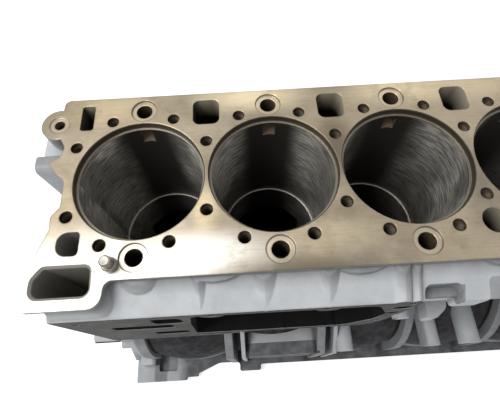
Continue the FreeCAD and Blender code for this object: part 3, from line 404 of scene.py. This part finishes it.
def block_noises(add, at):
    """Noises of the block's finishes, each at its spacing.

    The streaks are drawn out along X, the way the deck was milled. The patches of a bore's painted highlight
    and its strokes lie on its wall, unrolled by its angle.
    """
    shifted = add("Mapping", at.point, BROAD_SHIFT)
    drawn_out = add("Mapping", at.point, sockets={"Scale": (STREAK_DRAW, 1.0, 1.0)})
    wall = add("CombineXYZ", add("Math", at.angle, LINER_RADIUS, operation="MULTIPLY"),
               add("Math", at.z, PATCH_DRAW, operation="MULTIPLY"),
               add("Math", at.cell, BORE_SHIFT, operation="MULTIPLY"))
    drawn_round = add("CombineXYZ", add("Math", at.angle, LINER_RADIUS * STROKE_DRAW, operation="MULTIPLY"),
                      at.z, at.cell)
    noise = SimpleNamespace()
    for name, vector, spacing, detail, roughness in (
        ("broad", shifted, BROAD_STAIN_AND_REFLECTION, 2.0, 0.5),
        ("stains", at.point, STAIN, 6.0, 0.65),
        ("streaks", drawn_out, MILL_STREAK, 3.0, 0.5),
        ("dirt", at.point, DIRT, 5.0, 0.6),
        ("grain", at.point, CAST_GRAIN, 4.0, 0.6),
        ("pits", at.point, PIT, 3.0, 0.7),
        ("rubbed", wall, HIGHLIGHT_PATCH, 2.0, 0.5),
        ("strokes", drawn_round, HONING_STROKE, 3.0, 0.6),
    ):
        grade = {"Scale": 1 / spacing, "Detail": detail, "Roughness": roughness}
        setattr(noise, name, add("TexNoise", vector, sockets=grade))
    return noise


def enamel_coats(add, at, on, noise):
    """Coats of the paint: paler where the spray lay thick, with painted shade in the low and hidden places.

    Each coat here and below is a share, a tone, a roughness and a share of metal.
    """
    coats = [
        (add("MapRange", noise.stains, 0.35, 0.68), "#c3c6c8", 0.42, 0.0),
        (add("MapRange", noise.grain, 0.60, 0.72, 0.0, 0.30), "#dddfe0", 0.42, 0.0),
    ]
    patchy = add("MapRange", noise.dirt, 0.25, 0.60, 0.72, 1.0)
    dome_distance = reach(add, at.bore, add("Math", at.z, 0.0, operation="MAXIMUM"))
    dome_shade = all_of(add, on.inboard, add("Math", dome_distance, DOME_RADIUS, SPARE, operation="COMPARE"),
                  add("MapRange", at.z, *DOME_SHADE_FADE_Z), add("MapRange", noise.dirt, 0.30, 0.60, 0.93, 1.0))
    rail = all_of(add, patchy, add("MapRange", at.z, *RAIL_FADE_Z),
                  add("MapRange", at.x, *RAIL_FADE_X, 0.30, 1.0))
    pad = all_of(add, patchy, in_box(add, at.point, *PAD))
    web_shade = all_of(add, patchy, add("MapRange", at.off_plane, *WEB_SHADE_FADE), add("MapRange", at.z, *WEB_SHADE_FADE_Z))
    pocket = all_of(add, patchy, in_box(add, at.point, *POCKET))
    # Near black: painted shade on the domes under the flange's overhang, in the valleys between them at the
    # bearing planes, on the pad and in the pocket past the flange's end; and the pan rail darker towards its
    # foot
    for share, most in ((dome_shade, 0.98), (rail, 0.78), (pad, 0.80), (web_shade, 0.50), (pocket, 0.60)):
        coats.append((all_of(add, share, most), "#1d1c1f", 0.85, 0.0))
    # Painted shade: darker where nearby walls close round a point
    openness = add("AmbientOcclusion", WHITE, SHADE_REACH, out="AO", samples=8)
    coats.append((add("MapRange", openness, 0.62, 0.30, 0.0, 0.45), "#4c4b4b", 0.50, 0.0))
    # Painted shade in a band just below the deck's top, under the overhang of its edge
    shade_under_deck_edge = add("MapRange", at.z, *UNDER_DECK_SHADE_FADE_Z, 0.0, 0.68)
    coats.append((all_of(add, patchy, shade_under_deck_edge), "#5c5b58", 0.50, 0.1))
    return coats


def bare_coats(add, at, on, noise):
    """Coats of the bare, oily crankcase and cooler flange, and painted shade and light in the hollows and
    deck's holes.
    """
    oil = coated(add, "#1c1b19", (add("MapRange", noise.stains, 0.38, 0.66), "#37342f"))
    # Painted light and shade inside the deck's holes: near black deep down, lighter near the mouth on walls
    # that face the left lamp, lightest on the passages' walls
    brown = coated(add, "#463c30", (add("MapRange", noise.pits, 0.42, 0.62), "#6a5c48"))
    lit_wall = coated(add, brown, (on.wide_holes, "#a69e8b"))
    faced = add("Math", at.normal_x, at.normal_y, operation="ADD")
    painted_hole_light = all_of(add, add("MapRange", at.z, *HOLE_LIGHT_FADE_Z),
                   add("MapRange", faced, 0.3, -0.9, 0.12, 1.0))
    return [
        (on.case, "#211d19", 0.65, 0.0),
        # Painted shade: the hollows behind the cooler flange, near black
        (on.hollows, "#0b0b0c", 0.80, 0.0),
        (on.flange, oil, 0.62, 0.15),
        (on.holes, coated(add, "#0f0d0b", (painted_hole_light, lit_wall)), 0.60, 0.10),
        (on.cast_holes, "#8b8881", 0.60, 0.0),
    ]


def bore_coats(add, at, on, noise):
    """Coats of the bores: smooth dark iron, with painted highlights in fine arcs towards both ends of the
    block.
    """
    towards_ends = add("Math", add("Math", at.angle, operation="COSINE"), operation="ABSOLUTE")
    # Painted highlight: lighter on the walls towards both ends of the block, near the top and towards the
    # front
    painted_bore_highlight = all_of(add, add("MapRange", towards_ends, 0.30, 0.75, interpolation_type="SMOOTHSTEP"),
                    add("MapRange", noise.rubbed, 0.42, 0.58, 0.40, 1.0, interpolation_type="SMOOTHSTEP"),
                    add("MapRange", noise.strokes, 0.40, 0.60, 0.35, 1.25),
                    add("MapRange", at.z, *BORE_HIGHLIGHT_FADE_Z, 0.40, 1.0),
                    add("MapRange", at.x, *BORE_HIGHLIGHT_FADE_X, 1.0, 0.45))
    ledge = coated(add, "#a8a398", (on.near_top, "#857e72"))
    return [
        (on.bored, coated(add, "#3d3a36", (painted_bore_highlight, "#fbf6ec")), 0.34, 0.35),
        (all_of(add, on.bored, on.near_top), "#4a4338", 0.42, 0.5),
        (all_of(add, on.bored, on.up), ledge, 0.42, 0.8),
        (on.port, "#6a5a49", 0.60, 0.0),
    ]


def deck_coats(add, at, on, noise):
    """Coats of the deck: warm iron, stains and painted highlights and reflections in wide fields, streaks
    and pits.
    """
    # Broad stains, moved so that their dark and light patches also paint the deck's reflections
    shades = [(add("MapRange", noise.broad, 0.38, 0.62), "#a99c86")]
    shades += [(soft_field(add, at, *field), tone) for *field, tone in DECK_STAIN_AND_REFLECTION_FIELDS]
    shades += [
        (add("MapRange", noise.stains, 0.50, 0.74, 0.0, 0.30), "#d0c4af"),
        (add("MapRange", noise.stains, 0.46, 0.26, 0.0, 0.50), "#75694f"),
        (add("MapRange", noise.streaks, 0.50, 0.72, 0.0, 0.20), "#6c614e"),
        (add("MapRange", noise.pits, 0.60, 0.74, 0.0, 0.35), "#6b614f"),
    ]
    stains_and_reflections = coated(add, "#8d8271", *shades)
    rim = add("MapRange", at.coolant, *RIM_FADE, 0.0, 0.8)
    return [
        (on.deck, stains_and_reflections, 0.40, 0.9),
        (any_of(add, on.ring, on.spotface), coated(add, stains_and_reflections, (0.3, "#cfc3ac")), 0.38, 0.9),
        (all_of(add, on.ring, rim), "#6b5f4c", 0.5, 0.5),
    ]


def block_relief(add, at, on, noise):
    """Height of the cast grain, and in its place of the face mill's arcs or of the tool marks in the bores.

    An arc of the mill is a line of equal x - sqrt(R^2 - y^2), and a tool mark is a line of equal
    z + pitch angle / 2 pi.
    """
    square = add("Math", at.y, at.y, operation="MULTIPLY")
    inside = add("Math", MILL_RADIUS ** 2, square, operation="SUBTRACT", use_clamp=True)
    arc = add("Math", at.x, add("Math", inside, operation="SQRT"), operation="SUBTRACT")
    arcs = add("Math", add("Math", arc, 2 * math.pi / MILL_FEED, operation="MULTIPLY"), operation="SINE")
    milled = add("Math", add("Math", arcs, MILL_DEPTH, operation="MULTIPLY"),
                 add("Math", noise.pits, PIT_DEPTH, operation="MULTIPLY"), operation="ADD")
    rise = add("Math", at.angle, TURNING_PITCH / (2 * math.pi), operation="MULTIPLY")
    spiral = add("Math", at.z, rise, operation="ADD")
    marks = add("Math", add("Math", spiral, 2 * math.pi / TURNING_PITCH, operation="MULTIPLY"),
                operation="SINE")
    turned = add("Math", add("Math", marks, TURNING_DEPTH, operation="MULTIPLY"),
                 add("Math", noise.strokes, STROKE_DEPTH, operation="MULTIPLY"), operation="ADD")
    height = add("Math", noise.grain, GRAIN_DEPTH, operation="MULTIPLY")
    flat = any_of(add, on.deck, on.ring, on.spotface, on.end_faces)
    for share, relief in ((flat, milled), (on.bored, turned)):
        height = add("Mix", sockets={0: share, 2: height, 3: relief})
    return height


def painted_block():
    """Grey iron casting, sprayed with pale grey enamel, its machined faces bare.

    Enamel over cast iron gives a soft sheen on a grainy skin, with painted shade in the low and hidden
    places. The milled deck shows cutter arcs, brown stains and painted highlights and reflections, and the
    bores fine turning marks on dark iron with painted highlights. Old oil blackens the flange, and the
    hollows behind it are painted black as shade.
    """
    material, add = new_material("painted_grey_iron")
    at = block_places(add)
    on = block_masks(add, at)
    noise = block_noises(add, at)
    coats = enamel_coats(add, at, on, noise)
    coats += bare_coats(add, at, on, noise)
    coats += bore_coats(add, at, on, noise)
    coats.append((on.end_faces, "#98948b", 0.45, 0.85))
    coats += deck_coats(add, at, on, noise)
    colour, rough, metal = "#b1b4b7", 0.42, 0.0
    for share, tone, dull, bare in coats:
        colour = coated(add, colour, (share, tone))
        rough = add("Mix", sockets={0: share, 2: rough, 3: dull})
        metal = add("Mix", sockets={0: share, 2: metal, 3: bare})
    rough = add("Math", rough, add("MapRange", noise.dirt, 0.3, 0.7, -0.05, 0.07), operation="ADD")
    skin = add("Bump", sockets={
        "Strength": 1.0, "Distance": 1.0, "Height": block_relief(add, at, on, noise),
        "Normal": add("Bevel", CAST_EDGE_RADIUS, samples=4)})
    surface = add("BsdfPrincipled", sockets={
        "Base Color": colour, "Metallic": metal, "Roughness": rough, "Normal": skin,
        "Specular IOR Level": 0.2})
    add("OutputMaterial", surface, out=None)
    return material


def cap_iron():
    """Bare grey iron of the bearing caps, sawn and ground on the faces: dull, with oil stains."""
    material, add = new_material("bare_grey_iron")
    place = add("TexCoord", out="Object")
    stains = add("TexNoise", place, sockets={"Scale": 1 / CAP_STAIN, "Detail": 5.0, "Roughness": 0.6})
    grain = add("TexNoise", place, sockets={"Scale": 1 / CAP_GRAIN, "Detail": 3.0})
    colour = coated(add, "#45423f", (add("MapRange", stains, 0.38, 0.64), "#76726b"))
    dull = add("MapRange", stains, 0.3, 0.7, 0.36, 0.60)
    skin = add("Bump", sockets={"Strength": 0.6, "Distance": CAP_DEPTH, "Height": grain})
    surface = add("BsdfPrincipled", sockets={
        "Base Color": colour, "Metallic": 0.8, "Roughness": dull, "Normal": skin})
    add("OutputMaterial", surface, out=None)
    return material


def fastener_steel(name, dark, light, roughness, mark_spacing):
    """Steel of a fastener: two close tones and fine turning marks, which give a soft streaked shine."""
    material, add = new_material(name)
    place = add("TexCoord", out="Object")
    stains = add("TexNoise", place, sockets={"Scale": 1 / FASTENER_STAIN, "Detail": 4.0, "Roughness": 0.6})
    marks = add("TexNoise", add("Mapping", place, sockets={"Scale": MARK_DRAW}),
                sockets={"Scale": 1 / mark_spacing, "Detail": 2.0})
    colour = coated(add, dark, (add("MapRange", stains, 0.35, 0.65), light))
    dull = add("MapRange", marks, 0.3, 0.7, roughness - 0.06, roughness + 0.08)
    skin = add("Bump", sockets={"Strength": 0.5, "Distance": MARK_DEPTH, "Height": marks})
    surface = add("BsdfPrincipled", sockets={
        "Base Color": colour, "Metallic": 1.0, "Roughness": dull, "Normal": skin})
    add("OutputMaterial", surface, out=None)
    return material


def thread_iron():
    """Cut iron of the threads: oiled, so brown and half bright."""
    material, add = new_material("tapped_grey_iron")
    place = add("TexCoord", out="Object")
    oil = add("TexNoise", place, sockets={"Scale": 1 / THREAD_OIL, "Detail": 3.0})
    colour = coated(add, "#3b3227", (add("MapRange", oil, 0.4, 0.6), "#564a3a"))
    surface = add("BsdfPrincipled", sockets={"Base Color": colour, "Metallic": 0.3, "Roughness": 0.55})
    add("OutputMaterial", surface, out=None)
    return material


def dress(node_name, material):
    """Give a CAD node's object its finish."""
    for slot in nodes[node_name].material_slots:
        slot.link = "OBJECT"
        slot.material = material


def thread_ridges(name, mouths, inward, thread, material):
    """Ridges of screw threads in straight holes, as one piece.

    A triangle of three corners is carried down a right-handed helix: step i stands at the angle
    -2 pi i / STEPS and at the depth start + pitch i / STEPS, and corner j at its own radius and depth
    beside it. Two corners lie sunk in the hole's wall. The third is the crest, which also sinks into the
    wall over the first and last turn. inward is the unit vector into the hole, and mouths are the centres
    of the holes' mouths.
    """
    steps = int(THREAD_STEPS * thread["length"] / thread["pitch"])
    step = np.arange(steps + 1)
    turn = -2 * np.pi * step / THREAD_STEPS
    swell = np.clip(np.minimum(step, steps - step) / THREAD_STEPS, 0.0, 1.0)
    sunk = np.full(steps + 1, thread["radius"] + THREAD_SINK)
    radii = np.stack([sunk, sunk, sunk - swell * (thread["crest"] + THREAD_SINK)], axis=1)
    beside = thread["pitch"] * np.array([-THREAD_HALF_FOOT, THREAD_HALF_FOOT, 0.0])
    depth = thread["start"] + thread["pitch"] * step[:, None] / THREAD_STEPS + beside

    # Corners of one hole's ridge about the two directions across it, then of every hole's
    inward = np.array(inward)
    across = np.cross(inward, (1.0, 0.0, 0.0))
    along = np.cross(across, inward)
    ridge = (radii * np.cos(turn)[:, None])[..., None] * along
    ridge = ridge + (radii * np.sin(turn)[:, None])[..., None] * -across + depth[..., None] * inward
    corners = np.array(mouths)[:, None, None, :] + ridge

    # Faces between a step and the next, facing outwards, and a triangle at each end
    first = 3 * np.arange(steps)[:, None] + np.arange(3)
    following = 3 * np.arange(steps)[:, None] + np.roll(np.arange(3), -1)
    quads = np.stack([first, first + 3, following + 3, following], axis=-1).reshape(-1, 4)
    ends = np.array([[0, 1, 2], [3 * steps + 2, 3 * steps + 1, 3 * steps]])
    offsets = 3 * (steps + 1) * np.arange(len(mouths))[:, None, None]
    quads = (quads + offsets).reshape(-1, 4)
    ends = (ends + offsets).reshape(-1, 3)

    mesh = bpy.data.meshes.new(name)
    mesh.from_pydata(corners.reshape(-1, 3).tolist(), [], quads.tolist() + ends.tolist())
    mesh.materials.append(material)
    piece = bpy.data.objects.new(name, mesh)
    bpy.context.scene.collection.objects.link(piece)
    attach(piece, "root")


def all_threads():
    """Threads of the 38 head bolt holes, the cooler flange's screws and the engine mounts' bolts."""
    planes = FIRST_PLANE + PITCH * np.arange(CYLINDERS + 1)
    axes = planes[:-1] + PITCH / 2
    both = (-1, 1)
    head = [(x, s * INNER_BOLT_Y, DECK_Z) for x in planes for s in both]
    head += [(x + d * OUTER_BOLT_X, s * OUTER_BOLT_Y, DECK_Z) for x in axes for d in both for s in both]
    flange = [(FIRST_PLANE + behind, FLANGE_Y, DECK_Z - below) for behind, below in FLANGE_HOLES]
    mounts = [(axes[n] + d * MOUNT_SPREAD, MOUNT_FACE_Y, height)
              for n in MOUNT_CYLINDERS for d in both for height in MOUNT_HEIGHTS]
    iron = thread_iron()
    thread_ridges("head_bolt_threads", head, (0.0, 0.0, -1.0), HEAD_THREAD, iron)
    thread_ridges("cooler_screw_threads", flange, (0.0, 1.0, 0.0), FLANGE_THREAD, iron)
    thread_ridges("mount_bolt_threads", mounts, (0.0, -1.0, 0.0), MOUNT_THREAD, iron)


def seen_share(add):
    """1 for the rays that see the surround and the floor white."""
    rays = add("LightPath", out=None)
    return any_of(add, *[socket for socket in rays if socket.name in SEEN_RAYS])


def pale_floor():
    """Floor of nine faces level with the pan face, the middle one near black under the block as painted
    shade.
    """
    across = (-FLOOR_REACH, *SHADE_PATCH_X, FLOOR_REACH)
    along = (-FLOOR_REACH, *SHADE_PATCH_Y, FLOOR_REACH)
    corners = [(u, v, cad_box[0][2]) for v in along for u in across]
    row = len(across)
    starts = [row * j + i for j in range(len(along) - 1) for i in range(row - 1)]
    faces = [(start, start + 1, start + 1 + row, start + row) for start in starts]
    mesh = bpy.data.meshes.new("floor")
    mesh.from_pydata(corners, [], faces)
    floor = bpy.data.objects.new("floor", mesh)
    bpy.context.scene.collection.objects.link(floor)
    paper, add = new_material("white_paper")
    shaded = add("BsdfDiffuse", linear("#dcdcdc"))
    lit = add("AddShader", shaded, add("Emission", WHITE, FLOOR_GLOW))
    add("OutputMaterial", add("MixShader", seen_share(add), shaded, lit), out=None)
    # Painted shade: the floor under the block is near black, so that it shows dark through the bores
    shade_under_block_material, add = new_material("painted_shade_under_block")
    add("OutputMaterial", add("BsdfDiffuse", linear("#161514")), out=None)
    mesh.materials.append(paper)
    mesh.materials.append(shade_under_block_material)
    mesh.polygons[len(faces) // 2].material_index = 1


def aimed(place, aim):
    """Matrix at a place whose -Z looks at a point."""
    forward = np.subtract(aim, place)
    forward = forward / np.linalg.norm(forward)
    right = np.cross(forward, (0.0, 1.0, 0.0))
    right = right / np.linalg.norm(right)
    matrix = np.eye(4)
    matrix[:3] = np.stack([right, np.cross(right, forward), -forward, place], axis=1)
    return Matrix(matrix.tolist())


def studio():
    """White surround, dim as a light, and two lamps: high on the left, and one that shines off the deck."""
    world = bpy.data.worlds.new("studio")
    bpy.context.scene.world = world
    world.use_nodes = True
    add = adder(world.node_tree)
    dim = add("Background", linear("#f6f6f7"), ROOM_LIGHT)
    white = add("Background", WHITE, 1.0)
    add("OutputWorld", add("MixShader", seen_share(add), dim, white), out=None)
    for name, (place, aim, size, power) in LAMPS.items():
        lamp = bpy.data.lights.new(name, "AREA")
        lamp.shape = "RECTANGLE"
        lamp.size, lamp.size_y = size
        lamp.energy = power
        holder = bpy.data.objects.new(name, lamp)
        holder.matrix_world = aimed(place, aim)
        bpy.context.scene.collection.objects.link(holder)


def photo_camera():
    """Camera of the photograph."""
    data = bpy.data.cameras.new("photo_camera")
    data.sensor_width = SENSOR_WIDTH
    data.lens = FOCAL_PIXELS / PHOTO_WIDTH * SENSOR_WIDTH
    data.clip_start = 0.01
    camera = bpy.data.objects.new("photo_camera", data)
    matrix = np.eye(4)
    matrix[:3, 0] = CAMERA_RIGHT
    matrix[:3, 1] = np.negative(CAMERA_DOWN)
    matrix[:3, 2] = np.negative(CAMERA_FORWARD)
    matrix[:3, 3] = CAMERA_PLACE
    camera.matrix_world = Matrix(matrix.tolist())
    bpy.context.scene.collection.objects.link(camera)
    bpy.context.scene.camera = camera


dress("cylinder_block", painted_block())
caps = cap_iron()
for number in range(1, CYLINDERS + 2):
    dress("main_cap_" + str(number), caps)
dress("main_cap_bolts", fastener_steel("black_oxide_steel", "#1b1a19", "#2e2c2a", 0.40, 0.0011))
zinc = fastener_steel("zinc_plated_steel", "#9b9478", "#b9b396", 0.34, 0.0014)
for name in ("core_plugs", "gallery_plugs", "drain_plug"):
    dress(name, zinc)
ground = fastener_steel("ground_steel", "#66645e", "#97948d", 0.42, 0.0008)
for name in ("deck_stud", "front_dowels", "rear_dowels"):
    dress(name, ground)
all_threads()
pale_floor()
studio()
photo_camera()
bpy.context.scene.view_settings.view_transform = "Standard"
